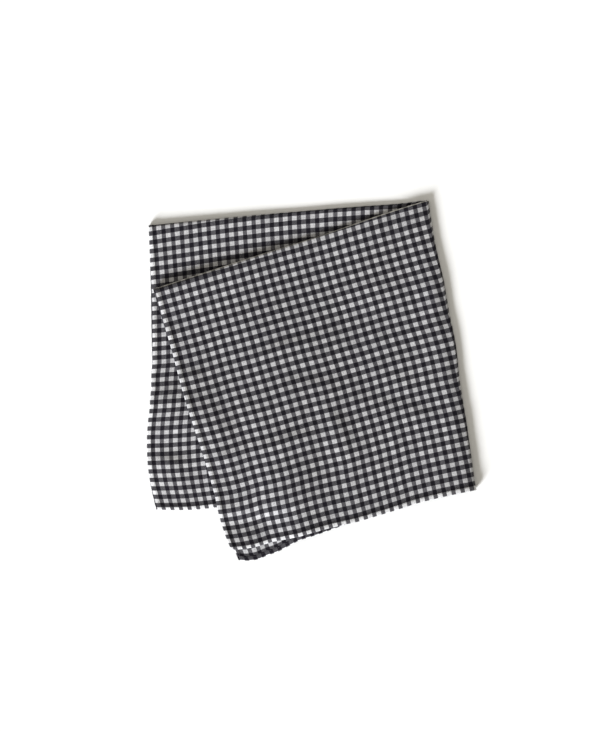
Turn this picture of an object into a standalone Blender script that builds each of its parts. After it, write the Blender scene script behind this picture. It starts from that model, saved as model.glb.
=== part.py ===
"""Square scarf: one hemmed square of gingham cotton, folded in four and lying flat.

Metres, +Z up. The surface under the scarf is Z = 0, X runs right and Y up the folded
square as it is seen from above, and the origin is under the middle of its outline.

The cloth is folded in half along its upper edge, and in half again along its right
edge. That lays four layers on one another, from the surface up: ground, back, inner
and face. The back fold joins ground to back and the front fold joins inner to face,
both at the top, and the side fold joins ground to face and back to inner. The front
pair has slid round the corner where the folds cross, so the back pair shows above it
and to its left.
"""

from collections import namedtuple
import math

import bmesh
import bpy
from mathutils import Vector

MM = 0.001

# The sheet, and the rise from the middle of one layer to the middle of the next
CLOTH_THICKNESS = 1.0 * MM
LAYER_RISE = 1.6 * MM

# Corners of the outline, seen from above
CROSSING = Vector((110.6, 170.4)) * MM
SIDE_FOOT = Vector((155.9, -104.3)) * MM
BACK_TOP_LEFT = Vector((-154.2, 146.4)) * MM
BACK_FOOT_LEFT = Vector((-145.2, -122.5)) * MM
FRONT_TOP_LEFT = Vector((-149.6, 86.1)) * MM
INNER_FOOT_LEFT = Vector((-68.7, -170.5)) * MM
FACE_FOOT_LEFT = Vector((-76.3, -158.2)) * MM

# How far each edge strays from the straight line between its corners: the middle and
# the reach of each bow as shares of that line, from the crossing on, and its height
Bow = namedtuple("Bow", "middle reach out")
SIDE_FOLD_BOWS = (
    Bow(0.13, 0.15, -1.3 * MM),
    Bow(0.44, 0.40, 2.8 * MM),
    Bow(0.50, 0.11, 1.0 * MM),
    Bow(0.82, 0.18, 1.0 * MM),
)
BACK_FOLD_BOWS = (Bow(0.26, 0.16, 0.5 * MM), Bow(0.62, 0.38, 1.5 * MM))
FRONT_FOLD_BOWS = (Bow(0.30, 0.30, -0.6 * MM),)
BACK_LEFT_BOWS = (
    Bow(0.50, 0.28, 1.0 * MM),
    Bow(0.56, 0.08, 1.8 * MM),
    Bow(0.80, 0.23, 8.8 * MM),
)
BACK_FOOT_BOWS = (Bow(0.88, 0.12, 2.2 * MM),)
FRONT_LEFT_BOWS = (Bow(0.44, 0.20, 1.2 * MM), Bow(0.90, 0.11, 2.1 * MM))
INNER_FOOT_BOWS = (
    Bow(0.14, 0.14, -0.8 * MM),
    Bow(0.42, 0.42, -4.6 * MM),
    Bow(0.62, 0.16, 1.2 * MM),
    Bow(0.87, 0.13, 3.3 * MM),
    Bow(0.94, 0.06, 2.0 * MM),
)
FACE_FOOT_BOWS = (
    Bow(0.14, 0.14, -0.7 * MM),
    Bow(0.60, 0.09, -0.9 * MM),
    Bow(0.66, 0.42, 5.4 * MM),
    Bow(0.93, 0.10, 2.1 * MM),
)

# Each layer's place in the stack, its top fold and its two hems
Layer = namedtuple("Layer", "number top_left fold_bows left_bows foot_left foot_bows")
GROUND = Layer(0, BACK_TOP_LEFT, BACK_FOLD_BOWS, BACK_LEFT_BOWS, BACK_FOOT_LEFT, BACK_FOOT_BOWS)
BACK = Layer(1, BACK_TOP_LEFT, BACK_FOLD_BOWS, BACK_LEFT_BOWS, BACK_FOOT_LEFT, BACK_FOOT_BOWS)
INNER = Layer(2, FRONT_TOP_LEFT, FRONT_FOLD_BOWS, FRONT_LEFT_BOWS, INNER_FOOT_LEFT, INNER_FOOT_BOWS)
FACE = Layer(3, FRONT_TOP_LEFT, FRONT_FOLD_BOWS, FRONT_LEFT_BOWS, FACE_FOOT_LEFT, FACE_FOOT_BOWS)

# How far the folds stand open: at the crossing, and at the far end of each
CROSSING_OPENS = 0.5 * MM
BACK_FOLD_END_OPENS = 2.4 * MM
FRONT_FOLD_END_OPENS = 3.8 * MM
TOP_FOLDS_OPEN_POWER = 1.5
TOP_FOLDS_CLOSE_OVER = 26.0 * MM
SIDE_FOLD_TOP_OPENS = 1.1 * MM
SIDE_FOLD_TOP_CLOSES_OVER = 22.0 * MM
SIDE_FOLD_FOOT_OPENS = 3.6 * MM
SIDE_FOLD_FOOT_CLOSES_OVER = 60.0 * MM
CROSSING_PUFF = 0.5 * MM
CROSSING_PUFF_REACH = 90.0 * MM

# How far the inner layer and the face round off toward the folds they bend around
INNER_ROUNDS_OFF = 0.75 * MM
FACE_SIDE_ROUNDS_OFF = 0.25 * MM
FACE_TOP_ROUNDS_OFF = 0.9 * MM
ROUNDED_OVER = 9.0 * MM

# Beyond the hem of the back pair, the front pair's left corner comes down to the surface
HEM_CLEARANCE = 2.0 * MM
COMES_DOWN_OVER = 30.0 * MM
STAYS_UP_FROM_X = -4.0 * MM
CORNER_SPAN = 45.0 * MM

# Soft creases: middle, direction from +X in degrees, half length, half widths on the
# sides toward the foot and toward the top, and height, all lengths in mm
Crease = namedtuple("Crease", "x y turn length footward topward lift")
BACK_CREASES = (
    Crease(-80.0, -62.0, -75.0, 80.0, 38.0, 120.0, 3.6),
    Crease(-134.0, -23.0, 4.0, 22.0, 30.0, 20.0, 2.4),
    Crease(-135.0, -79.0, -4.0, 15.0, 24.0, 16.0, 2.2),
)
FRONT_CREASES = (
    # The far end of the front fold lifts off the back pair
    Crease(-105.0, 103.0, 17.6, 70.0, 44.0, 44.0, 1.7),
    # A swell, and two creases running to the right below it
    Crease(-58.0, 51.0, -78.0, 34.0, 44.0, 34.0, 1.5),
    Crease(-19.4, 33.3, 16.0, 38.0, 24.0, 12.0, 1.4),
    Crease(2.4, -5.6, -6.0, 26.0, 20.0, 12.0, 1.3),
    # Folds that fan out from a pinch in the middle
    Crease(28.0, -57.7, -66.0, 30.0, 13.0, 13.0, 1.6),
    Crease(93.4, -29.3, -12.0, 48.0, 14.0, 12.0, 0.6),
    Crease(-24.2, -57.7, 16.0, 38.0, 13.0, 12.0, 1.4),
    Crease(-25.0, -17.0, -50.0, 18.0, 36.0, 15.0, 1.4),
    Crease(-100.0, -37.8, -66.0, 26.0, 13.0, 17.0, 1.4),
    # The long ridge down to the foot and the curl of the corner beside it
    Crease(-23.2, -108.0, -76.0, 50.0, 26.0, 28.0, 3.4),
    Crease(-62.1, -151.6, 6.0, 30.0, 14.0, 16.0, 2.0),
    # Low swells on the right
    Crease(45.0, -40.0, -80.0, 120.0, 90.0, 70.0, 1.7),
    Crease(61.1, 85.4, -76.0, 28.0, 16.0, 30.0, 1.1),
)

# Steps of the mesh across and down one layer, and around a fold
FRONT_STEPS = 22
BACK_STEPS = 16
DOWN_STEPS = 26
FOLD_STEPS = 6
CROWDING = 1.25  # above 1, the steps across crowd towards the side fold

COTTON_COLOUR = (0.215, 0.213, 0.222, 1.0)
COTTON_ROUGHNESS = 0.9


def clear_scene():
    for old in list(bpy.data.objects):
        bpy.data.objects.remove(old, do_unlink=True)


def outward(start, end):
    """Unit normal of an edge on the side away from the middle of the scarf."""
    along = (end - start).normalized()
    normal = Vector((-along.y, along.x))
    return normal if normal.dot(start) > 0.0 else -normal


def edge_point(start, end, bows, share):
    """Point at this share of an edge, with its bows."""
    point = start.lerp(end, share)
    for bow in bows:
        off_middle = abs(share - bow.middle) / bow.reach
        if off_middle < 1.0:
            point += outward(start, end) * bow.out * math.cos(0.5 * math.pi * off_middle)
    return point


def share_along(start, end, point):
    """How far along a line the point lies, from 0 at its start to 1 at its end."""
    line = end - start
    return min(max((point - start).dot(line) / line.length_squared, 0.0), 1.0)


def fade(distance, reach):
    """1 at a fold, falling away smoothly inside the cloth."""
    return math.exp(-((max(distance, 0.0) / reach) ** 2))


def ease(share):
    """Smooth step from 0 to 1."""
    share = min(max(share, 0.0), 1.0)
    return share * share * (3.0 - 2.0 * share)


def crease_height(point, creases):
    """How much the creases lift the cloth at a place."""
    height = 0.0
    for crease in creases:
        turn = math.radians(crease.turn)
        off_x = point.x / MM - crease.x
        off_y = point.y / MM - crease.y
        along = (off_x * math.cos(turn) + off_y * math.sin(turn)) / crease.length
        across = off_y * math.cos(turn) - off_x * math.sin(turn)
        across /= crease.footward if across < 0.0 else crease.topward
        height += crease.lift * MM * math.exp(-(along**2) - across**2)
    return height


def opening_at(point, far_end, end_opens):
    """How much a top fold and the crossing part the two layers of a pair here."""
    share = share_along(CROSSING, far_end, point)
    opens = CROSSING_OPENS + (end_opens - CROSSING_OPENS) * share**TOP_FOLDS_OPEN_POWER
    inside = -(point - CROSSING).dot(outward(CROSSING, far_end))
    puff = CROSSING_PUFF * fade((point - CROSSING).length, CROSSING_PUFF_REACH)
    return opens * fade(inside, TOP_FOLDS_CLOSE_OVER) + puff


def side_opening_at(point):
    """How much the side fold parts the front pair from the back pair here."""
    share = share_along(CROSSING, SIDE_FOOT, point)
    opens = SIDE_FOLD_TOP_OPENS + (SIDE_FOLD_FOOT_OPENS - SIDE_FOLD_TOP_OPENS) * share
    over = SIDE_FOLD_TOP_CLOSES_OVER
    over += (SIDE_FOLD_FOOT_CLOSES_OVER - SIDE_FOLD_TOP_CLOSES_OVER) * share
    return opens * fade(-(point - CROSSING).dot(outward(CROSSING, SIDE_FOOT)), over)


def layer_heights(point):
    """Heights of the middle of the ground, back, inner and face layers at a place."""
    ground = CLOTH_THICKNESS / 2
    back = ground + LAYER_RISE + crease_height(point, BACK_CREASES)
    back += opening_at(point, BACK_TOP_LEFT, BACK_FOLD_END_OPENS)
    by_side = fade(-(point - CROSSING).dot(outward(CROSSING, SIDE_FOOT)), ROUNDED_OVER)
    rise = LAYER_RISE + side_opening_at(point) - INNER_ROUNDS_OFF * by_side
    past_hem = (point - SIDE_FOOT).dot(outward(SIDE_FOOT, BACK_FOOT_LEFT))
    comes_down = ease((past_hem - HEM_CLEARANCE) / COMES_DOWN_OVER)
    comes_down *= ease((STAYS_UP_FROM_X - point.x) / CORNER_SPAN)
    inner = ground + (back + rise - ground) * (1.0 - comes_down)
    inner += crease_height(point, FRONT_CREASES) * (1.0 - 0.5 * comes_down)
    by_top = fade(-(point - CROSSING).dot(outward(CROSSING, FRONT_TOP_LEFT)), ROUNDED_OVER)
    by_top *= fade((point - CROSSING).length, CROSSING_PUFF_REACH)
    face = inner + LAYER_RISE - FACE_SIDE_ROUNDS_OFF * by_side - FACE_TOP_ROUNDS_OFF * by_top
    face += opening_at(point, FRONT_TOP_LEFT, FRONT_FOLD_END_OPENS)
    return ground, back, inner, face


def inset_side():
    """The side fold's two ends, moved in to where its bend begins."""
    normal = outward(CROSSING, SIDE_FOOT)
    up = outward(CROSSING, BACK_TOP_LEFT) + outward(CROSSING, FRONT_TOP_LEFT)
    ground, back, inner, face = layer_heights(CROSSING)
    corner = CROSSING - normal * (face - ground + CLOTH_THICKNESS) / 2
    corner -= up.normalized() * (back - ground + CLOTH_THICKNESS) / 2
    ground, back, inner, face = layer_heights(SIDE_FOOT)
    foot = SIDE_FOOT - normal * (face - ground + CLOTH_THICKNESS) / 2
    return corner, foot


def inset_top_left(layer):
    """The far end of the layer's top fold, moved in to where its bend begins."""
    heights = layer_heights(layer.top_left)
    lower = GROUND if layer in (GROUND, BACK) else INNER
    fold_height = heights[lower.number + 1] - heights[lower.number]
    normal = outward(CROSSING, layer.top_left)
    return layer.top_left - normal * (fold_height + CLOTH_THICKNESS) / 2


def plan_point(layer, across, down):
    """Place of a layer's point in plan: across from the side fold, down from the top."""
    corner, foot = inset_side()
    top_left = inset_top_left(layer)
    top = edge_point(corner, top_left, layer.fold_bows, across)
    bottom = edge_point(foot, layer.foot_left, layer.foot_bows, across)
    side = edge_point(corner, foot, SIDE_FOLD_BOWS, down)
    left = edge_point(top_left, layer.foot_left, layer.left_bows, down)
    ruled = top.lerp(bottom, down) + side.lerp(left, across)
    upper = corner.lerp(top_left, across)
    lower = foot.lerp(layer.foot_left, across)
    return ruled - upper.lerp(lower, down)


def flat_point(layer, across, down):
    """Middle of the cloth where the layer lies flat."""
    point = plan_point(layer, across, down)
    return point.to_3d() + Vector((0.0, 0.0, layer_heights(point)[layer.number]))


def top_fold_point(first, second, across, turn):
    """Around a top fold, turn running from its first layer over to its second."""
    start = flat_point(first, across, 0.0)
    middle = (start + flat_point(second, across, 0.0)) / 2
    radius = (start - middle).length
    out = outward(CROSSING, first.top_left).to_3d()
    return middle + (start - middle) * math.cos(turn) + out * radius * math.sin(turn)


def side_fold_point(first, second, down, lean):
    """Around the side fold, lean running from its first layer over to its second."""
    start = flat_point(first, 0.0, down)
    middle = (start + flat_point(second, 0.0, down)) / 2
    radius = (start - middle).length
    out = outward(CROSSING, SIDE_FOOT).to_3d()
    return middle + (start - middle) * math.cos(lean) + out * radius * math.sin(lean)


def crossing_point(lean, turn):
    """Where the top folds run into one another around the side fold."""
    outer = side_fold_point(FACE, GROUND, 0.0, lean)
    inner = side_fold_point(INNER, BACK, 0.0, lean)
    middle = (outer + inner) / 2
    to_back = (1.0 - math.cos(lean)) / 2
    out = outward(CROSSING, FRONT_TOP_LEFT).lerp(outward(CROSSING, BACK_TOP_LEFT), to_back)
    radius = (outer - inner).length / 2
    return middle + (outer - middle) * math.cos(turn) + out.to_3d() * radius * math.sin(turn)


def place_in_fold(column, row):
    """Folded place of one crossing of the mesh.

    Columns run from the left hem of the front pair, around the side fold, to the left
    hem of the back pair. Rows run from the foot of the outer half of the cloth, face and
    ground, over the top folds to the foot of its inner half, inner and back.
    """
    past_front = column - FRONT_STEPS
    past_side = past_front - FOLD_STEPS
    past_outer = row - DOWN_STEPS
    past_top = past_outer - FOLD_STEPS
    lean = math.pi * past_front / FOLD_STEPS
    turn = math.pi * past_outer / FOLD_STEPS
    steps_across = FRONT_STEPS if past_front <= 0 else BACK_STEPS
    across = (max(-past_front, past_side, 0) / steps_across) ** CROWDING
    down = max(-past_outer, past_top, 0) / DOWN_STEPS
    in_side_fold = past_front > 0 and past_side < 0
    in_top_fold = past_outer > 0 and past_top < 0
    outer, inner = (FACE, INNER) if past_front <= 0 else (GROUND, BACK)
    if in_side_fold and in_top_fold:
        return crossing_point(lean, turn)
    if in_side_fold:
        first, second = (FACE, GROUND) if past_outer <= 0 else (INNER, BACK)
        return side_fold_point(first, second, down, lean)
    if in_top_fold:
        return top_fold_point(outer, inner, across, turn)
    return flat_point(outer if past_outer <= 0 else inner, across, down)


def cotton_material():
    material = bpy.data.materials.new("gingham_cotton")
    material.use_nodes = True
    shader = material.node_tree.nodes["Principled BSDF"]
    shader.inputs["Base Color"].default_value = COTTON_COLOUR
    shader.inputs["Roughness"].default_value = COTTON_ROUGHNESS
    shader.inputs["Metallic"].default_value = 0.0
    return material


def folded_scarf():
    """The flat square as a grid, each of its crossings laid where the folds carry it."""
    columns = FRONT_STEPS + FOLD_STEPS + BACK_STEPS
    rows = DOWN_STEPS + FOLD_STEPS + DOWN_STEPS
    cloth = bmesh.new()
    bmesh.ops.create_grid(cloth, x_segments=columns, y_segments=rows, size=0.5)
    for vertex in cloth.verts:
        column = round((vertex.co.x + 0.5) * columns)
        row = round((vertex.co.y + 0.5) * rows)
        vertex.co = place_in_fold(column, row)
    mesh = bpy.data.meshes.new("scarf_cloth")
    cloth.to_mesh(mesh)
    cloth.free()
    mesh.shade_smooth()
    mesh.materials.append(cotton_material())
    scarf = bpy.data.objects.new("scarf_cloth", mesh)
    bpy.context.collection.objects.link(scarf)
    thickness = scarf.modifiers.new("cloth thickness", "SOLIDIFY")
    thickness.thickness = CLOTH_THICKNESS
    thickness.offset = 0.0
    thickness.use_even_offset = True
    return scarf


clear_scene()
folded_scarf()
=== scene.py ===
import math
from collections import namedtuple

import bmesh
import bpy
from mathutils import Matrix, Vector, noise


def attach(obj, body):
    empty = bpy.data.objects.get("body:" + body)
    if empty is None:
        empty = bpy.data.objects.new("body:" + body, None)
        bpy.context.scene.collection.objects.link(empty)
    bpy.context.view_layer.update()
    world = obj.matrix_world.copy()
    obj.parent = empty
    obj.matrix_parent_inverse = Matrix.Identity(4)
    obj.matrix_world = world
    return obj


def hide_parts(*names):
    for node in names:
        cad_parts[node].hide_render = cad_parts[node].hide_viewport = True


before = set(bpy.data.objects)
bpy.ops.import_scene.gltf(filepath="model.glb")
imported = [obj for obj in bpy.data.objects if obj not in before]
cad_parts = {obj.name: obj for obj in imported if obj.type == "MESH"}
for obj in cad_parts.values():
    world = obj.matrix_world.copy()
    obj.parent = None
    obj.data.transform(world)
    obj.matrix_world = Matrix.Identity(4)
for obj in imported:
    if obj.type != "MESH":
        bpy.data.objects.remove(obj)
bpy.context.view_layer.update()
MM = 0.001


# The cloth
# One square of light yarn-dyed cotton gingham, hemmed all round. It is folded in half
# along its top and again along its right side, which lays four layers on one another,
# and it has settled with a few soft creases.
CLOTH_THICKNESS = 0.45 * MM
HEM_THICKNESS = 1.15 * MM
HEM_WIDTH = 4.3 * MM
HEM_STEP = 0.6 * MM
HEM_EDGE_WEIGHT = 0.6
LAYER_RISE = 1.45 * MM

# Corners of the folded outline from above, with X to the right and Y to the top folds
CROSSING = Vector((111.1, 170.9)) * MM
SIDE_FOOT = Vector((155.6, -103.9)) * MM
BACK_TOP_LEFT = Vector((-154.2, 146.4)) * MM
BACK_FOOT_LEFT = Vector((-145.2, -122.5)) * MM
FRONT_TOP_LEFT = Vector((-149.6, 86.1)) * MM
INNER_FOOT_LEFT = Vector((-68.7, -170.5)) * MM
FACE_FOOT_LEFT = Vector((-76.3, -158.2)) * MM

# Bows of the edges: middle and reach as shares of the edge, counted from its end at the
# crossing, at the side fold or at the top, and how far out the edge bows
Bow = namedtuple("Bow", "middle reach out")
SIDE_FOLD_BOWS = (
    Bow(0.13, 0.15, -1.6 * MM),
    Bow(0.44, 0.40, 2.2 * MM),
    Bow(0.50, 0.11, 1.3 * MM),
    Bow(0.82, 0.18, 1.1 * MM),
)
BACK_FOLD_BOWS = (Bow(0.11, 0.11, -0.7 * MM), Bow(0.62, 0.38, 1.0 * MM))
FRONT_FOLD_BOWS = (Bow(0.30, 0.30, -0.6 * MM),)
BACK_LEFT_BOWS = (
    Bow(0.50, 0.28, 1.0 * MM),
    Bow(0.56, 0.08, 1.8 * MM),
    Bow(0.80, 0.23, 8.8 * MM),
)
BACK_FOOT_BOWS = (Bow(0.88, 0.12, 2.2 * MM),)
FRONT_LEFT_BOWS = (Bow(0.44, 0.20, 1.2 * MM), Bow(0.90, 0.11, 2.1 * MM))
INNER_FOOT_BOWS = (
    Bow(0.14, 0.14, -0.8 * MM),
    Bow(0.42, 0.42, -4.6 * MM),
    Bow(0.62, 0.16, 0.8 * MM),
    Bow(0.75, 0.09, -0.4 * MM),
    Bow(0.87, 0.13, 3.3 * MM),
    Bow(0.94, 0.06, 2.0 * MM),
)
FACE_FOOT_BOWS = (
    Bow(0.14, 0.14, -0.7 * MM),
    Bow(0.60, 0.12, -1.2 * MM),
    Bow(0.66, 0.42, 4.8 * MM),
    Bow(0.93, 0.10, 2.1 * MM),
)

# Near the crossing the front pair swells out a little along its fold
FRONT_FOLD_SWELL = Bow(0.18, 0.18, 1.0 * MM)
SWELL_DIES_OUT_OVER = 12.0 * MM

# The four layers from the table up: ground and back are the back pair, which lies
# below, and inner and face are the front pair on top of it
Layer = namedtuple("Layer", "number top_left fold_bows left_bows foot_left foot_bows")
GROUND = Layer(
    number=0,
    top_left=BACK_TOP_LEFT,
    fold_bows=BACK_FOLD_BOWS,
    left_bows=BACK_LEFT_BOWS,
    foot_left=BACK_FOOT_LEFT,
    foot_bows=BACK_FOOT_BOWS,
)
BACK = GROUND._replace(number=1)
INNER = Layer(
    number=2,
    top_left=FRONT_TOP_LEFT,
    fold_bows=FRONT_FOLD_BOWS,
    left_bows=FRONT_LEFT_BOWS,
    foot_left=INNER_FOOT_LEFT,
    foot_bows=INNER_FOOT_BOWS,
)
FACE = INNER._replace(number=3, foot_left=FACE_FOOT_LEFT, foot_bows=FACE_FOOT_BOWS)

# How far the folds stand open, and how the cloth rounds off over them
CROSSING_OPENS = 0.5 * MM
BACK_FOLD_END_OPENS = 2.4 * MM
FRONT_FOLD_END_OPENS = 3.8 * MM
TOP_FOLDS_OPEN_POWER = 1.5
TOP_FOLDS_CLOSE_OVER = 26.0 * MM
SIDE_FOLD_TOP_OPENS = 1.1 * MM
SIDE_FOLD_TOP_CLOSES_OVER = 22.0 * MM
SIDE_FOLD_FOOT_OPENS = 3.6 * MM
SIDE_FOLD_FOOT_CLOSES_OVER = 60.0 * MM
SIDE_FOLD_ROUNDS_OFF = 1.9 * MM
ROUNDING_OF_FRONT_PAIR = 0.7
ROUNDING_OF_FACE = 0.3
FRONT_FOLD_ROUNDS_OFF = 1.0 * MM
FRONT_FOLD_ROUNDS_REACH = 105.0 * MM
ROUNDED_OVER = 6.5 * MM
CROSSING_ROUNDED_OVER = 14.0 * MM
CROSSING_ROUNDS_REACH = 60.0 * MM
CROSSING_PUFF = 0.5 * MM
CROSSING_PUFF_REACH = 90.0 * MM

# Beyond the hem of the back pair, the front pair's left corner comes down to the table
HEM_CLEARANCE = 2.0 * MM
COMES_DOWN_OVER = 18.0 * MM
STAYS_UP_FROM_X = -4.0 * MM
CORNER_SPAN = 45.0 * MM
CORNER_LOWERS_RISES = 0.5

# Painted light: a thin line of light through the bend of the front fold, painted into the
# cloth's colour, most toward its ends
FOLD_GLOW_WIDTH = 0.9 * MM
FOLD_GLOW_AT_ENDS = 0.68
FOLD_GLOW_IN_MIDDLE = 0.2
FOLD_GLOW_UNEVEN = 0.5
FOLD_GLOW_GRAIN = 0.37
FOLD_GLOW_SEED = 7.3
FOLD_GLOW_STARTS_OVER_STEPS = 6

# Soft creases, in mm: middle, direction from +X in degrees, half length, half widths on
# the side toward the foot and on the side toward the top, and height
CREASE_ENDS_AT = 3.0
Crease = namedtuple("Crease", "x y turn length footward topward lift")
BACK_CREASES = (
    Crease(-80.0, -62.0, -75.0, 80.0, 38.0, 120.0, 3.6),
    Crease(-134.0, -23.0, 4.0, 22.0, 32.0, 16.0, 3.0),
    Crease(-135.0, -79.0, -4.0, 15.0, 24.0, 8.0, 3.0),
)
FRONT_CREASES = (
    # The far end of the front fold lifts off the back pair
    Crease(-105.0, 103.0, 17.6, 70.0, 44.0, 44.0, 1.7),
    # The hems ride a little high along the left and the foot
    Crease(-113.0, -36.0, -73.3, 300.0, 10.0, 10.0, 0.7),
    Crease(40.6, -134.7, 13.1, 300.0, 10.0, 10.0, 0.7),
    # A swell, and two creases running to the right below it
    Crease(-58.0, 51.0, -78.0, 34.0, 44.0, 34.0, 1.5),
    Crease(-19.4, 33.3, 16.0, 38.0, 24.0, 5.5, 1.6),
    Crease(2.4, -5.6, -6.0, 26.0, 20.0, 8.0, 1.4),
    Crease(-111.4, 3.9, 10.0, 8.0, 8.0, 5.5, 1.4),
    # The pinch in the middle and the folds that fan out from it
    Crease(20.4, -38.8, -50.0, 9.0, 8.0, 8.0, 1.0),
    Crease(28.0, -57.7, -66.0, 30.0, 11.0, 10.5, 1.8),
    Crease(39.3, -106.1, -76.0, 14.0, 9.0, 5.0, 0.7),
    Crease(93.4, -29.3, -12.0, 48.0, 14.0, 6.0, 0.6),
    Crease(91.5, -17.9, -12.0, 44.0, 6.0, 8.0, -0.5),
    Crease(-24.2, -57.7, 16.0, 38.0, 12.0, 8.0, 1.6),
    # A hollow by the left hem between two rises
    Crease(-96.0, -44.0, -66.0, 24.0, 9.0, 17.0, 1.5),
    Crease(-25.0, -17.0, -50.0, 18.0, 36.0, 15.0, 1.4),
    Crease(-71.6, -37.8, -55.0, 20.0, 12.0, 12.0, -0.5),
    Crease(-84.8, -72.9, 15.0, 10.0, 8.0, 7.0, 1.0),
    # The long ridge down to the foot and the curl of the corner beside it
    Crease(-23.2, -108.0, -76.0, 50.0, 26.0, 28.0, 3.4),
    Crease(-62.1, -151.6, 6.0, 30.0, 12.0, 16.0, 2.0),
    # A low swell down the right, a rise along the side fold and small ones between
    Crease(45.0, -40.0, -80.0, 120.0, 90.0, 70.0, 1.7),
    Crease(118.0, 90.0, -80.0, 24.0, 14.0, 7.0, 0.8),
    Crease(61.1, 85.4, -76.0, 28.0, 16.0, 30.0, 1.1),
    Crease(82.0, 73.1, -68.0, 14.0, 10.0, 10.0, 0.6),
    Crease(78.2, -56.8, -73.0, 20.0, 8.0, 5.0, 0.6),
    Crease(65.9, 39.9, 5.0, 10.0, 9.0, 5.0, 0.5),
    Crease(61.1, 11.5, 0.0, 9.0, 9.0, 5.0, 0.5),
    Crease(83.9, 2.0, -5.0, 9.0, 9.0, 5.0, 0.5),
)
UNEVEN_LIFT = 0.22 * MM
UNEVEN_SPAN = 34.0 * MM
BACK_UNEVEN_SEED = 0.0
FRONT_UNEVEN_SEED = 7.0

# Steps of the sheet across the front and back pairs, down a layer and around a fold,
# and about how long and how wide a layer is
FRONT_STEPS = 98
BACK_STEPS = 106
DOWN_STEPS = 98
FOLD_STEPS = 12
LAYER_SPAN = 265.0 * MM


def outward(start, end):
    """Unit normal of an edge on the side away from the middle of the scarf."""
    along = (end - start).normalized()
    normal = Vector((-along.y, along.x))
    return normal if normal.dot(start) > 0.0 else -normal


def edge_point(start, end, bows, share):
    """Place at a share of a bowed edge."""
    point = start.lerp(end, share)
    for bow in bows:
        off_middle = abs(share - bow.middle) / bow.reach
        if off_middle < 1.0:
            point += outward(start, end) * bow.out * math.cos(0.5 * math.pi * off_middle)
    return point


def fade(distance, reach):
    """1 where the distance is 0 or less, dying away over the reach."""
    return math.exp(-((max(distance, 0.0) / reach) ** 2))


def ease(share):
    """0 to 1, slowly at both ends."""
    share = min(max(share, 0.0), 1.0)
    return share * share * (3.0 - 2.0 * share)


def crease_height(point, creases):
    """Height that the creases add up to at a place."""
    height = 0.0
    for crease in creases:
        turn = math.radians(crease.turn)
        off_x = point.x / MM - crease.x
        off_y = point.y / MM - crease.y
        along = (off_x * math.cos(turn) + off_y * math.sin(turn)) / crease.length
        across = off_y * math.cos(turn) - off_x * math.sin(turn)
        across /= crease.footward if across < 0.0 else crease.topward
        if max(abs(along), abs(across)) < CREASE_ENDS_AT:
            height += crease.lift * MM * math.exp(-(along**2) - across**2)
    return height


def unevenness(point, seed):
    """Slight rise or dip where the cloth doesn't lie quite flat."""
    spot = Vector((point.x / UNEVEN_SPAN, point.y / UNEVEN_SPAN, seed))
    return UNEVEN_LIFT * noise.noise(spot)


def opening_at(point, far_end, end_opens):
    """How much a top fold and the crossing part the two layers of a pair here."""
    fold = far_end - CROSSING
    share = min(max((point - CROSSING).dot(fold) / fold.length_squared, 0.0), 1.0)
    opens = CROSSING_OPENS + (end_opens - CROSSING_OPENS) * share**TOP_FOLDS_OPEN_POWER
    inside = -(point - CROSSING).dot(outward(CROSSING, far_end))
    puff = CROSSING_PUFF * fade((point - CROSSING).length, CROSSING_PUFF_REACH)
    return opens * fade(inside, TOP_FOLDS_CLOSE_OVER) + puff


def side_opening_at(point):
    """How much the side fold parts the front pair from the back pair here."""
    fold = SIDE_FOOT - CROSSING
    share = min(max((point - CROSSING).dot(fold) / fold.length_squared, 0.0), 1.0)
    opens = SIDE_FOLD_TOP_OPENS + (SIDE_FOLD_FOOT_OPENS - SIDE_FOLD_TOP_OPENS) * share
    over = SIDE_FOLD_TOP_CLOSES_OVER
    over += (SIDE_FOLD_FOOT_CLOSES_OVER - SIDE_FOLD_TOP_CLOSES_OVER) * share
    return opens * fade(-(point - CROSSING).dot(outward(CROSSING, SIDE_FOOT)), over)


def layer_heights(point):
    """Heights of the middle of the ground, back, inner and face layers at a place."""
    ground = HEM_THICKNESS / 2
    back = ground + LAYER_RISE + crease_height(point, BACK_CREASES)
    back += unevenness(point, BACK_UNEVEN_SEED)
    back += opening_at(point, BACK_TOP_LEFT, BACK_FOLD_END_OPENS)
    in_from_side = -(point - CROSSING).dot(outward(CROSSING, SIDE_FOOT))
    near_crossing = fade((point - CROSSING).length, CROSSING_ROUNDS_REACH)
    over = ROUNDED_OVER + (CROSSING_ROUNDED_OVER - ROUNDED_OVER) * near_crossing
    rounding = SIDE_FOLD_ROUNDS_OFF * fade(in_from_side, over)
    rise = LAYER_RISE + side_opening_at(point) - ROUNDING_OF_FRONT_PAIR * rounding
    past_hem = (point - SIDE_FOOT).dot(outward(SIDE_FOOT, BACK_FOOT_LEFT))
    comes_down = ease((past_hem - HEM_CLEARANCE) / COMES_DOWN_OVER)
    comes_down *= ease((STAYS_UP_FROM_X - point.x) / CORNER_SPAN)
    inner = ground + (back + rise - ground) * (1.0 - comes_down)
    front = crease_height(point, FRONT_CREASES) + unevenness(point, FRONT_UNEVEN_SEED)
    inner += max(front, 0.0) * (1.0 - CORNER_LOWERS_RISES * comes_down)
    inner += min(front, 0.0) * (1.0 - comes_down)
    in_from_top = -(point - CROSSING).dot(outward(CROSSING, FRONT_TOP_LEFT))
    top_rounding = FRONT_FOLD_ROUNDS_OFF * fade(in_from_top, over)
    top_rounding *= fade((point - CROSSING).length, FRONT_FOLD_ROUNDS_REACH)
    face = inner + LAYER_RISE - ROUNDING_OF_FACE * rounding - top_rounding
    face += opening_at(point, FRONT_TOP_LEFT, FRONT_FOLD_END_OPENS)
    return ground, back, inner, face


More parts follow.
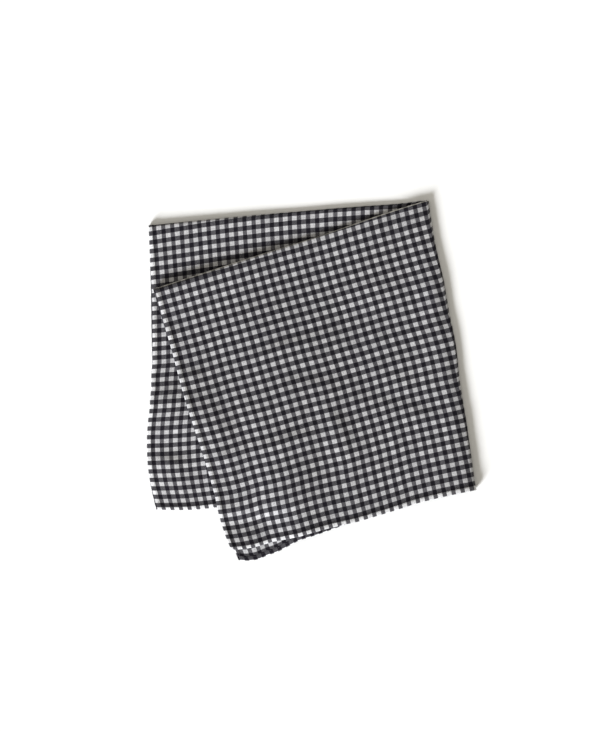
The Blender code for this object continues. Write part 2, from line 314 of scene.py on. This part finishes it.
def side_fold_ends():
    """The side fold's two ends, moved in to where its bend begins."""
    normal = outward(CROSSING, SIDE_FOOT)
    up = outward(CROSSING, BACK_TOP_LEFT) + outward(CROSSING, FRONT_TOP_LEFT)
    ground, back, inner, face = layer_heights(CROSSING)
    corner = CROSSING - normal * (face - ground + CLOTH_THICKNESS) / 2
    corner -= up.normalized() * (back - ground + CLOTH_THICKNESS) / 2
    ground, back, inner, face = layer_heights(SIDE_FOOT)
    foot = SIDE_FOOT - normal * (face - ground + CLOTH_THICKNESS) / 2
    return corner, foot


def top_fold_end(layer):
    """The far end of the layer's top fold, moved in to where its bend begins."""
    heights = layer_heights(layer.top_left)
    lower = 0 if layer.number < INNER.number else INNER.number
    normal = outward(CROSSING, layer.top_left)
    return layer.top_left - normal * (heights[lower + 1] - heights[lower] + CLOTH_THICKNESS) / 2


FOLD_CORNER, FOLD_FOOT = side_fold_ends()
FOLD_LEFT = {layer.number: top_fold_end(layer) for layer in (GROUND, BACK, INNER, FACE)}


def plan_point(layer, across, down):
    """Place of a layer's point in plan: across from the side fold, down from the top."""
    top_left = FOLD_LEFT[layer.number]
    top = edge_point(FOLD_CORNER, top_left, layer.fold_bows, across)
    bottom = edge_point(FOLD_FOOT, layer.foot_left, layer.foot_bows, across)
    side = edge_point(FOLD_CORNER, FOLD_FOOT, SIDE_FOLD_BOWS, down)
    left = edge_point(top_left, layer.foot_left, layer.left_bows, down)
    ruled = top.lerp(bottom, down) + side.lerp(left, across)
    upper = FOLD_CORNER.lerp(top_left, across)
    lower = FOLD_FOOT.lerp(layer.foot_left, across)
    point = ruled - upper.lerp(lower, down)
    if layer.number >= INNER.number:
        straight = CROSSING.lerp(FRONT_TOP_LEFT, across)
        swollen = edge_point(CROSSING, FRONT_TOP_LEFT, (FRONT_FOLD_SWELL,), across)
        point += (swollen - straight) * fade(down * LAYER_SPAN, SWELL_DIES_OUT_OVER)
    return point


def flat_point(layer, across, down):
    """Middle of the cloth where the layer lies flat."""
    point = plan_point(layer, across, down)
    return point.to_3d() + Vector((0.0, 0.0, layer_heights(point)[layer.number]))


def bend_between(start, end, out, turn):
    """Half a circle from start over to end, bulging out."""
    middle = (start + end) / 2
    radius = (start - middle).length
    return middle + (start - middle) * math.cos(turn) + out.to_3d() * radius * math.sin(turn)


def side_fold_point(first, second, down, lean):
    """Place around the side fold, from one layer to the other."""
    start = flat_point(first, 0.0, down)
    end = flat_point(second, 0.0, down)
    return bend_between(start, end, outward(CROSSING, SIDE_FOOT), lean)


def crossing_point(lean, turn):
    """Where the top folds run into one another around the side fold."""
    outer = side_fold_point(FACE, GROUND, 0.0, lean)
    inner = side_fold_point(INNER, BACK, 0.0, lean)
    to_back = (1.0 - math.cos(lean)) / 2
    out = outward(CROSSING, FRONT_TOP_LEFT).lerp(outward(CROSSING, BACK_TOP_LEFT), to_back)
    return bend_between(outer, inner, out, turn)


# The stripes are counted in checks over the sheet, and a whole number is the middle of
# a white stripe. Each layer has its warp and weft counts at its corners, and how far its
# stripes sag off straight: across it, down it, in its middle, and one way in its upper
# half and the other way in its lower half. The rows are ground, back, inner and face.
Counts = namedtuple("Counts", "side_top left_top side_foot left_foot across down middle twist")
WARP_COUNTS = (
    Counts(20.05, 50.05, 16.6, 50.06, 0.0, 0.0, 0.0, 0.0),
    Counts(19.58, 50.10, 13.90, 50.42, -0.085, 0.025, 0.0, 0.18),
    Counts(18.84, -12.43, 15.46, -12.13, 0.14, -0.07, -0.13, 0.11),
    Counts(18.84, -12.43, 15.57, -12.02, 0.14, -0.07, -0.13, 0.11),
)
WEFT_COUNTS = (
    Counts(-14.95, -13.98, 16.30, 16.20, -0.24, 0.0, 0.0, 0.0),
    Counts(-15.30, -14.81, -46.73, -47.04, -0.40, 0.21, 0.0, -0.085),
    Counts(-16.10, -15.10, -47.10, -47.12, 0.0, 0.0, 0.0, 0.0),
    Counts(-15.73, -14.45, 16.25, 16.09, 0.03, -0.05, 0.11, 0.0),
)


def count_at(counts, across, down):
    """Number of checks counted to a place of a layer."""
    top = counts.side_top + (counts.left_top - counts.side_top) * across
    foot = counts.side_foot + (counts.left_foot - counts.side_foot) * across
    across_sag = math.sin(math.pi * across)
    down_sag = math.sin(math.pi * down)
    sag = counts.across * across_sag + counts.down * down_sag
    sag += counts.middle * across_sag * down_sag + counts.twist * math.sin(2.0 * math.pi * down)
    return top + (foot - top) * down + sag


# The inner layer shows the side to which the hems are turned, so there its stripes are
# a little out of step with the cloth's along the foot and up the left. The weft counts
# are those at the very edge and at the hem's inner side.
TURNED_UP_WEFT = (-46.84, -46.30)
TURNED_UP_WARP_SLIPS = -0.3
TURNED_IN_WARP_SLIPS = 0.3
HEM_REACH_IN_WIDTHS = 1.01


def weave_at(layer, across, down):
    """Warp and weft count where the layer lies flat."""
    warp = count_at(WARP_COUNTS[layer.number], across, down)
    weft = count_at(WEFT_COUNTS[layer.number], across, down)
    from_foot = (1.0 - down) * LAYER_SPAN / HEM_WIDTH
    from_left = (1.0 - across) * LAYER_SPAN / HEM_WIDTH
    if layer is INNER and from_foot < HEM_REACH_IN_WIDTHS:
        warp += TURNED_UP_WARP_SLIPS
        weft = TURNED_UP_WEFT[0] + (TURNED_UP_WEFT[1] - TURNED_UP_WEFT[0]) * from_foot
    elif layer is INNER and from_left < HEM_REACH_IN_WIDTHS:
        warp += TURNED_IN_WARP_SLIPS
    return Vector((warp, weft))


# Lines of the sheet beside and in the hem, by their distance from its edge
HEM_LINES = (HEM_WIDTH + HEM_STEP, HEM_WIDTH, 0.6 * HEM_WIDTH, 0.2 * HEM_WIDTH, 0.0)
LINES_IN_HEM = 3


def shares_from_fold(steps):
    """Shares of the steps from a fold to a hem, even up to the lines of the hem."""
    plain = steps - len(HEM_LINES) + 1
    last_plain = 1.0 - HEM_LINES[0] / LAYER_SPAN
    shares = [last_plain * step / plain for step in range(plain)]
    return shares + [1.0 - line / LAYER_SPAN for line in HEM_LINES]


FRONT_SHARES = shares_from_fold(FRONT_STEPS)
BACK_SHARES = shares_from_fold(BACK_STEPS)
DOWN_SHARES = shares_from_fold(DOWN_STEPS)


def share_at(shares, step):
    """The share at a step, which may lie between two."""
    low = min(int(step), len(shares) - 2)
    return shares[low] + (shares[low + 1] - shares[low]) * (step - low)


def place_in_fold(column, row):
    """Folded place of a point of the sheet, and its warp and weft counts.

    Columns run from the left hem of the front pair, around the side fold, to the left
    hem of the back pair. Rows run from the foot of the face and ground, over the top
    folds to the foot of the inner and back.
    """
    past_front = column - FRONT_STEPS
    past_side = past_front - FOLD_STEPS
    past_outer = row - DOWN_STEPS
    past_top = past_outer - FOLD_STEPS
    lean = math.pi * min(max(past_front / FOLD_STEPS, 0.0), 1.0)
    turn = math.pi * min(max(past_outer / FOLD_STEPS, 0.0), 1.0)
    front = past_front <= 0
    across = share_at(FRONT_SHARES if front else BACK_SHARES, max(-past_front, past_side, 0))
    down = share_at(DOWN_SHARES, max(-past_outer, past_top, 0))
    in_side_fold = past_front > 0 and past_side < 0
    in_top_fold = past_outer > 0 and past_top < 0
    outer_front = weave_at(FACE, across, down)
    inner_front = weave_at(INNER, across, down)
    outer_back = weave_at(GROUND, across, down)
    inner_back = weave_at(BACK, across, down)
    outer_count = outer_front.lerp(outer_back, lean / math.pi)
    inner_count = inner_front.lerp(inner_back, lean / math.pi)
    count = outer_count.lerp(inner_count, turn / math.pi)
    outer, inner = (FACE, INNER) if front else (GROUND, BACK)
    if in_side_fold and in_top_fold:
        return crossing_point(lean, turn), count
    if in_side_fold:
        first, second = (FACE, GROUND) if past_outer <= 0 else (INNER, BACK)
        return side_fold_point(first, second, down, lean), count
    if in_top_fold:
        out = outward(CROSSING, outer.top_left)
        start = flat_point(outer, across, 0.0)
        end = flat_point(inner, across, 0.0)
        return bend_between(start, end, out, turn), count
    return flat_point(outer if past_outer <= 0 else inner, across, down), count


def light_through_fold(column, row):
    """Share of painted light along the very edge of the open front fold, for the light that
    comes through it.
    """
    if column > FRONT_STEPS + FOLD_STEPS / 2:
        return 0.0
    if not DOWN_STEPS < row <= DOWN_STEPS + FOLD_STEPS / 2:
        return 0.0
    face_side = place_in_fold(column, DOWN_STEPS)[0]
    inner_side = place_in_fold(column, DOWN_STEPS + FOLD_STEPS)[0]
    turn = math.pi * (row - DOWN_STEPS) / FOLD_STEPS
    in_from_edge = (face_side - inner_side).length / 2 * (1.0 - math.sin(turn))
    toward_ends = abs(math.cos(math.pi * min(column / FRONT_STEPS, 1.0)))
    share = FOLD_GLOW_IN_MIDDLE + (FOLD_GLOW_AT_ENDS - FOLD_GLOW_IN_MIDDLE) * toward_ends
    spot = Vector((FOLD_GLOW_GRAIN * column, 0.0, FOLD_GLOW_SEED))
    share *= 1.0 + FOLD_GLOW_UNEVEN * noise.noise(spot)
    share *= ease(column / FOLD_GLOW_STARTS_OVER_STEPS)
    return share * ease(2.0 - 2.0 * in_from_edge / FOLD_GLOW_WIDTH)


COLUMNS = FRONT_STEPS + FOLD_STEPS + BACK_STEPS
ROWS = DOWN_STEPS + FOLD_STEPS + DOWN_STEPS

sheet = bmesh.new()
bmesh.ops.create_grid(sheet, x_segments=COLUMNS, y_segments=ROWS, size=0.5)
weave_map = sheet.loops.layers.uv.new("weave")
hem_band = sheet.verts.layers.float.new("hem")
hem_weight = sheet.verts.layers.deform.verify()
fold_glow = sheet.verts.layers.float.new("fold_glow")
counts = {}
for vertex in sheet.verts:
    column = round((vertex.co.x + 0.5) * COLUMNS)
    row = round((vertex.co.y + 0.5) * ROWS)
    vertex.co, counts[vertex.index] = place_in_fold(column, row)
    from_edge = min(column, COLUMNS - column, row, ROWS - row)
    in_hem = 1.0 if from_edge <= LINES_IN_HEM else 0.0
    vertex[hem_band] = in_hem
    vertex[hem_weight][0] = HEM_EDGE_WEIGHT if from_edge == 0 else in_hem
    vertex[fold_glow] = light_through_fold(column, row)
for face in sheet.faces:
    for corner in face.loops:
        corner[weave_map].uv = counts[corner.vert.index]
cloth_mesh = bpy.data.meshes.new("square_scarf")
sheet.to_mesh(cloth_mesh)
sheet.free()
cloth_mesh.shade_smooth()
scarf = bpy.data.objects.new("square_scarf", cloth_mesh)
bpy.context.scene.collection.objects.link(scarf)
scarf.vertex_groups.new(name="hem")
body = scarf.modifiers.new("cloth and hem", "SOLIDIFY")
body.thickness = HEM_THICKNESS
body.offset = 0.0
body.use_even_offset = True
body.vertex_group = "hem"
body.thickness_vertex_group = CLOTH_THICKNESS / HEM_THICKNESS


def feed(socket, value):
    """Link an output to a socket, or set its value, where a colour is given as RGB."""
    if isinstance(value, bpy.types.NodeSocket):
        socket.id_data.links.new(value, socket)
    elif isinstance(value, tuple) and socket.type == "RGBA":
        socket.default_value = (*value, 1.0)
    else:
        socket.default_value = value


def add_math(nodes, operation, *values):
    """A Math node on outputs or numbers, and its output."""
    node = nodes.new("ShaderNodeMath")
    node.operation = operation
    for socket, value in zip(node.inputs, values):
        feed(socket, value)
    return node.outputs[0]


def add_vector_math(nodes, operation, *values, scale=None):
    """A Vector Math node on outputs or vectors, and its output."""
    node = nodes.new("ShaderNodeVectorMath")
    node.operation = operation
    for socket, value in zip(node.inputs, values):
        feed(socket, value)
    if scale is not None:
        feed(node.inputs["Scale"], scale)
    return node.outputs["Vector"]


def add_step(nodes, value, low, high):
    """0 below low, 1 above high and smooth between them."""
    node = nodes.new("ShaderNodeMapRange")
    node.interpolation_type = "SMOOTHSTEP"
    feed(node.inputs["Value"], value)
    feed(node.inputs["From Min"], low)
    feed(node.inputs["From Max"], high)
    return node.outputs["Result"]


# Places of a Mix node's sockets for colours, which share their names with others
MIX_SHARE = 0
MIX_FIRST = 6
MIX_SECOND = 7
MIX_RESULT = 2


def add_mix(nodes, share, first, second):
    """A colour between two others, which are outputs or RGB values."""
    node = nodes.new("ShaderNodeMix")
    node.data_type = "RGBA"
    feed(node.inputs[MIX_SHARE], share)
    feed(node.inputs[MIX_FIRST], first)
    feed(node.inputs[MIX_SECOND], second)
    return node.outputs[MIX_RESULT]


def add_noise(nodes, place, dimensions, scale, detail):
    """A soft noise over a place, as a node with its Fac and Color."""
    node = nodes.new("ShaderNodeTexNoise")
    node.noise_dimensions = dimensions
    feed(node.inputs["Vector"], place)
    feed(node.inputs["Scale"], scale)
    feed(node.inputs["Detail"], detail)
    return node


def add_chance(nodes, dimensions, socket, cell):
    """A random share for each cell of a pattern."""
    node = nodes.new("ShaderNodeTexWhiteNoise")
    node.noise_dimensions = dimensions
    feed(node.inputs[socket], cell)
    return node.outputs["Value"]


def add_tone(nodes, chance, varies):
    """A tone that varies around 1 with a share."""
    return add_math(nodes, "MULTIPLY_ADD", chance, varies, 1.0 - varies / 2)


def add_attribute(nodes, name):
    """A value that the sheet carries at its vertices."""
    node = nodes.new("ShaderNodeAttribute")
    node.attribute_name = name
    return node.outputs["Fac"]


def add_ink_stripes(nodes, count, white_share):
    """1 on the dark stripes of a count and 0 on the white ones."""
    off_white = add_math(nodes, "PINGPONG", count, 0.5)
    edge = white_share / 2
    return add_step(nodes, off_white, edge - STRIPE_SOFTNESS, edge + STRIPE_SOFTNESS)


# Yarn colours, as the eye takes them in where the stripes meet
WHITE_COTTON = (0.43, 0.427, 0.436)
WHITE_HEM = (0.60, 0.60, 0.61)
HEM_DEEPENS = 0.12
INK_COTTON = (0.0062, 0.0053, 0.0088)
INK_WARP_OVER_WHITE = (0.038, 0.0365, 0.0415)
WHITE_WEFT_OVER_INK = (0.126, 0.122, 0.132)
INK_WEFT_OVER_WHITE = (0.027, 0.0258, 0.030)
WHITE_WARP_OVER_INK = (0.101, 0.098, 0.107)
# Painted light: colours of the thin line of light painted along the front fold's bend, on white
# and on ink stripes
FOLD_GLOW = (0.80, 0.775, 0.72)
FOLD_GLOW_IN_INK = (0.56, 0.54, 0.49)

# The stripes and the plain weave, in checks
YARNS_PER_CHECK = 28
WARP_WHITE_SHARE = 0.525
WEFT_WHITE_SHARE = 0.475
STRIPE_SOFTNESS = 0.014
STRIPES_WANDER = 0.05
WANDER_SCALE = 0.7
WANDER_DETAIL = 2.0
OVER_UNDER_SOFTNESS = 0.25
HEM_SHOWS_FROM = 0.3
HEM_SHOWS_IN_FULL_AT = 0.7
YARN_RELIEF = 0.05 * MM
RELIEF_STRENGTH = 0.6

# How much the tone varies from patch to patch, yarn to yarn and along the yarns, and
# where and how much the half beyond the side fold is painted paler, as painted light
PATCHES_PER_CHECK = 2.0
HALF_A_PATCH = (0.5, 0.5, 0.0)
PATCH_VARIES = 0.22
YARN_VARIES = 0.16
WEFT_YARNS_START_AT = 5000.0
SLUBS_VARY = 0.7
SLUB_SCALE = 7.0
SLUB_DETAIL = 1.0
PAINTED_LIGHT_FROM_WARP = 17.0
PAINTED_LIGHT_IN_FULL_AT_WARP = 23.0
PAINTED_LIGHT_BY = 0.09

# Matt cotton with a faint sheen of loose fibres
COTTON_ROUGHNESS = 0.9
COTTON_SPECULAR = 0.12
COTTON_SHEEN = 0.06
COTTON_SHEEN_ROUGHNESS = 0.5

cotton = bpy.data.materials.new("gingham_cotton")
cotton.use_nodes = True
nodes = cotton.node_tree.nodes
shader = nodes["Principled BSDF"]

# The weave map holds the counts, and the stripes wander a little off them
weave = nodes.new("ShaderNodeUVMap")
weave.uv_map = "weave"
weave_place = weave.outputs["UV"]
wander = add_noise(nodes, weave_place, "2D", WANDER_SCALE, WANDER_DETAIL)
wander_reach = (STRIPES_WANDER, STRIPES_WANDER, 0.0)
drift = add_vector_math(
    nodes, "MULTIPLY_ADD", wander.outputs["Color"], wander_reach, weave_place
)
counted = nodes.new("ShaderNodeSeparateXYZ")
feed(counted.inputs[0], drift)
warp_count = add_math(nodes, "SUBTRACT", counted.outputs["X"], STRIPES_WANDER / 2)
weft_count = add_math(nodes, "SUBTRACT", counted.outputs["Y"], STRIPES_WANDER / 2)
ink_warp = add_ink_stripes(nodes, warp_count, WARP_WHITE_SHARE)
ink_weft = add_ink_stripes(nodes, weft_count, WEFT_WHITE_SHARE)

# Plain weave: warp and weft lie on top by turns
warp_yarn = add_math(nodes, "MULTIPLY", warp_count, YARNS_PER_CHECK)
weft_yarn = add_math(nodes, "MULTIPLY", weft_count, YARNS_PER_CHECK)
warp_wave = add_math(nodes, "SINE", add_math(nodes, "MULTIPLY", warp_yarn, math.pi))
weft_wave = add_math(nodes, "SINE", add_math(nodes, "MULTIPLY", weft_yarn, math.pi))
crossing_wave = add_math(nodes, "MULTIPLY", warp_wave, weft_wave)
warp_on_top = add_step(nodes, crossing_wave, -OVER_UNDER_SOFTNESS, OVER_UNDER_SOFTNESS)

# White stripes are whiter in the hem, where the cloth is three layers thick, and the
# half dark ones deeper
hem_attribute = add_attribute(nodes, "hem")
hem_shows = add_step(nodes, hem_attribute, HEM_SHOWS_FROM, HEM_SHOWS_IN_FULL_AT)
white = add_mix(nodes, hem_shows, WHITE_COTTON, WHITE_HEM)
warp_striped = add_mix(nodes, warp_on_top, WHITE_WEFT_OVER_INK, INK_WARP_OVER_WHITE)
weft_striped = add_mix(nodes, warp_on_top, INK_WEFT_OVER_WHITE, WHITE_WARP_OVER_INK)
deeper_warp = add_mix(nodes, HEM_DEEPENS, warp_striped, INK_COTTON)
deeper_weft = add_mix(nodes, HEM_DEEPENS, weft_striped, INK_COTTON)
warp_striped = add_mix(nodes, hem_shows, warp_striped, deeper_warp)
weft_striped = add_mix(nodes, hem_shows, weft_striped, deeper_weft)
on_white_weft = add_mix(nodes, ink_warp, white, warp_striped)
on_ink_weft = add_mix(nodes, ink_warp, weft_striped, INK_COTTON)
checked = add_mix(nodes, ink_weft, on_white_weft, on_ink_weft)

# Each patch of crossings takes the dye and the light a little differently, and the yarn has
# thicker and thinner places. Painted light: the half beyond the side fold is painted a
# little paler, for the brighter light that falls on it.
patch = add_vector_math(nodes, "SCALE", weave_place, scale=PATCHES_PER_CHECK)
patch_centre = add_vector_math(nodes, "ADD", patch, HALF_A_PATCH)
patch_cell = add_vector_math(nodes, "FLOOR", patch_centre)
patch_tone = add_tone(nodes, add_chance(nodes, "2D", "Vector", patch_cell), PATCH_VARIES)
warp_cell = add_math(nodes, "FLOOR", warp_yarn)
weft_cell = add_math(nodes, "FLOOR", add_math(nodes, "ADD", weft_yarn, WEFT_YARNS_START_AT))
warp_tone = add_tone(nodes, add_chance(nodes, "1D", "W", warp_cell), YARN_VARIES)
weft_tone = add_tone(nodes, add_chance(nodes, "1D", "W", weft_cell), YARN_VARIES)
slubs = add_noise(nodes, weave_place, "2D", SLUB_SCALE, SLUB_DETAIL)
slub_tone = add_tone(nodes, slubs.outputs["Fac"], SLUBS_VARY)
crossing_tone = add_math(nodes, "MULTIPLY", warp_tone, weft_tone)
yarn_tone = add_math(nodes, "MULTIPLY", slub_tone, crossing_tone)
# Painted light: the half beyond the side fold is painted paler
in_painted_light_half = add_step(nodes, warp_count, PAINTED_LIGHT_FROM_WARP, PAINTED_LIGHT_IN_FULL_AT_WARP)
painted_light_half = add_math(nodes, "MULTIPLY_ADD", in_painted_light_half, PAINTED_LIGHT_BY, 1.0)
patch_tone_and_painted_light = add_math(nodes, "MULTIPLY", patch_tone, painted_light_half)
tone = add_math(nodes, "MULTIPLY", patch_tone_and_painted_light, yarn_tone)
toned = add_vector_math(nodes, "SCALE", checked, scale=tone)
# Painted light: the thin bright line along the front fold's bend is mixed into the colour
glow_colour = add_mix(nodes, ink_warp, FOLD_GLOW, FOLD_GLOW_IN_INK)
colour_with_painted_light = add_mix(nodes, add_attribute(nodes, "fold_glow"), toned, glow_colour)
feed(shader.inputs["Base Color"], colour_with_painted_light)

relief = nodes.new("ShaderNodeBump")
feed(relief.inputs["Strength"], RELIEF_STRENGTH)
feed(relief.inputs["Distance"], YARN_RELIEF)
feed(relief.inputs["Height"], add_math(nodes, "ABSOLUTE", crossing_wave))
feed(shader.inputs["Normal"], relief.outputs["Normal"])
feed(shader.inputs["Roughness"], COTTON_ROUGHNESS)
feed(shader.inputs["Specular IOR Level"], COTTON_SPECULAR)
feed(shader.inputs["Sheen Weight"], COTTON_SHEEN)
feed(shader.inputs["Sheen Roughness"], COTTON_SHEEN_ROUGHNESS)
cloth_mesh.materials.append(cotton)

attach(scarf, "root")
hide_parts("scarf_cloth")


# The hem's stitching
# A line of lockstitch in grey sewing thread holds the turned hem down on all four sides
# of the square, close to the hem's inner edge. It shows on both sides of the cloth.
STITCH_LENGTH = 2.2 * MM
STITCH_PITCH = 2.8 * MM
THREAD_WIDTH = 0.2 * MM
THREAD_SIDES = 6
STITCH_SINKS = 0.02 * MM
THREAD_DARK = (0.045, 0.044, 0.048)
THREAD_LIGHT = (0.075, 0.073, 0.078)
THREAD_FIBRE_SCALE = 2500.0
THREAD_FIBRE_DETAIL = 2.0
THREAD_ROUGHNESS = 0.7
THREAD_SPECULAR = 0.3

# In steps of the sheet: how far the line lies in from the edge, and how far to either
# side a stitch takes its direction from. The walk along one side has many small steps.
IN_FROM_EDGE = 2.5
NEARBY = 0.05
WALK_STEPS = 1400


def places_along(start, end):
    """Column and row of each stitch between two corners, evenly spaced over the cloth."""
    places = []
    walked = 0.0
    before = place_in_fold(*start)[0]
    for step in range(1, WALK_STEPS + 1):
        spot = start.lerp(end, step / WALK_STEPS)
        here = place_in_fold(*spot)[0]
        walked += (here - before).length
        before = here
        if walked >= STITCH_PITCH:
            walked -= STITCH_PITCH
            places.append(spot)
    return places


def add_stitch(thread, spot, along):
    """One stitch at a column and row, on both sides of the cloth."""
    step = along * NEARBY
    aside = Vector((step.y, -step.x))
    forward = place_in_fold(*(spot + step))[0] - place_in_fold(*(spot - step))[0]
    sideways = place_in_fold(*(spot + aside))[0] - place_in_fold(*(spot - aside))[0]
    forward.normalize()
    up = forward.cross(sideways).normalized()
    turned = Matrix((forward.cross(up), up, forward)).transposed().to_4x4()
    lowest = THREAD_WIDTH + abs(forward.z) * STITCH_LENGTH / 2
    for side in (-1.0, 1.0):
        centre = place_in_fold(*spot)[0] + up * side * (HEM_THICKNESS / 2 - STITCH_SINKS)
        centre.z = max(centre.z, lowest)
        bmesh.ops.create_cone(
            thread,
            segments=THREAD_SIDES,
            radius1=THREAD_WIDTH / 2,
            radius2=THREAD_WIDTH / 2,
            depth=STITCH_LENGTH,
            cap_ends=True,
            matrix=Matrix.Translation(centre) @ turned,
        )


near = IN_FROM_EDGE
far_column = COLUMNS - IN_FROM_EDGE
far_row = ROWS - IN_FROM_EDGE
hem_corners = [
    Vector((near, near)),
    Vector((far_column, near)),
    Vector((far_column, far_row)),
    Vector((near, far_row)),
]
thread = bmesh.new()
for start, end in zip(hem_corners, hem_corners[1:] + hem_corners[:1]):
    for spot in places_along(start, end):
        add_stitch(thread, spot, (end - start).normalized())
thread_mesh = bpy.data.meshes.new("hem_stitching")
thread.to_mesh(thread_mesh)
thread.free()
thread_mesh.shade_smooth()
stitching = bpy.data.objects.new("hem_stitching", thread_mesh)
bpy.context.scene.collection.objects.link(stitching)

sewing_thread = bpy.data.materials.new("grey_sewing_thread")
sewing_thread.use_nodes = True
thread_nodes = sewing_thread.node_tree.nodes
thread_shader = thread_nodes["Principled BSDF"]
thread_place = thread_nodes.new("ShaderNodeTexCoord").outputs["Object"]
fibres = add_noise(thread_nodes, thread_place, "3D", THREAD_FIBRE_SCALE, THREAD_FIBRE_DETAIL)
thread_colour = add_mix(thread_nodes, fibres.outputs["Fac"], THREAD_DARK, THREAD_LIGHT)
feed(thread_shader.inputs["Base Color"], thread_colour)
feed(thread_shader.inputs["Roughness"], THREAD_ROUGHNESS)
feed(thread_shader.inputs["Specular IOR Level"], THREAD_SPECULAR)
thread_mesh.materials.append(sewing_thread)

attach(stitching, "root")


# The table
# A plain pale table top lies under the scarf and is not part of it. It is matt all over
# and reaches past every view.
TABLE_SIDE = 8.0
PALE_TABLE = (0.90, 0.90, 0.89)
TABLE_ROUGHNESS = 0.95
TABLE_SPECULAR = 0.0

table_top = bmesh.new()
bmesh.ops.create_grid(table_top, x_segments=1, y_segments=1, size=TABLE_SIDE / 2)
table_mesh = bpy.data.meshes.new("table")
table_top.to_mesh(table_mesh)
table_top.free()
table = bpy.data.objects.new("table", table_mesh)
bpy.context.scene.collection.objects.link(table)
table_finish = bpy.data.materials.new("pale_table")
table_finish.use_nodes = True
table_shader = table_finish.node_tree.nodes["Principled BSDF"]
feed(table_shader.inputs["Base Color"], PALE_TABLE)
feed(table_shader.inputs["Roughness"], TABLE_ROUGHNESS)
feed(table_shader.inputs["Specular IOR Level"], TABLE_SPECULAR)
table_mesh.materials.append(table_finish)


# The light
# One broad soft lamp shines from low on the lower left, with a faint warm light from all
# round. The lamp's height over the table and its spread are in degrees.
LAMP_HEIGHT = 20.5
LAMP_FROM = Vector((-0.574, -0.819))
LAMP_SPREAD = 20.0
LAMP_STRENGTH = 7.0
LAMP_COLOUR = (0.98, 1.0, 1.04)
ROOM_LIGHT = (1.0, 0.955, 0.86)
ROOM_STRENGTH = 0.46

lamp_data = bpy.data.lights.new("lamp", "SUN")
lamp_data.energy = LAMP_STRENGTH
lamp_data.angle = math.radians(LAMP_SPREAD)
lamp_data.color = LAMP_COLOUR
lamp = bpy.data.objects.new("lamp", lamp_data)
toward_lamp = LAMP_FROM.normalized().to_3d() * math.cos(math.radians(LAMP_HEIGHT))
toward_lamp.z = math.sin(math.radians(LAMP_HEIGHT))
lamp.rotation_mode = "QUATERNION"
lamp.rotation_quaternion = toward_lamp.to_track_quat("Z", "Y")
bpy.context.scene.collection.objects.link(lamp)

room = bpy.data.worlds.new("room")
room.use_nodes = True
feed(room.node_tree.nodes["Background"].inputs["Color"], ROOM_LIGHT)
feed(room.node_tree.nodes["Background"].inputs["Strength"], ROOM_STRENGTH)
bpy.context.scene.world = room
bpy.context.scene.view_settings.view_transform = "Standard"


# The camera
# It looks straight down with a long lens. Its picture is 600 by 732 pixels and shows
# 569 mm across.
PICTURE_WIDTH = 600
PICTURE_HEIGHT = 732
SHOWN_WIDTH = 568.8 * MM
PICTURE_MIDDLE = Vector((-10.9, 13.4)) * MM
LENS_MM = 110.0
SENSOR_MM = 36.0
SEES_AS_FAR_AS = 50.0

camera_data = bpy.data.cameras.new("camera")
camera_data.lens = LENS_MM
camera_data.sensor_width = SENSOR_MM
camera_data.clip_end = SEES_AS_FAR_AS
camera = bpy.data.objects.new("camera", camera_data)
shown_height = SHOWN_WIDTH * PICTURE_HEIGHT / PICTURE_WIDTH
camera.location = PICTURE_MIDDLE.to_3d()
camera.location.z = shown_height * LENS_MM / SENSOR_MM
bpy.context.scene.collection.objects.link(camera)
bpy.context.scene.camera = camera


bpy.context.view_layer.update()
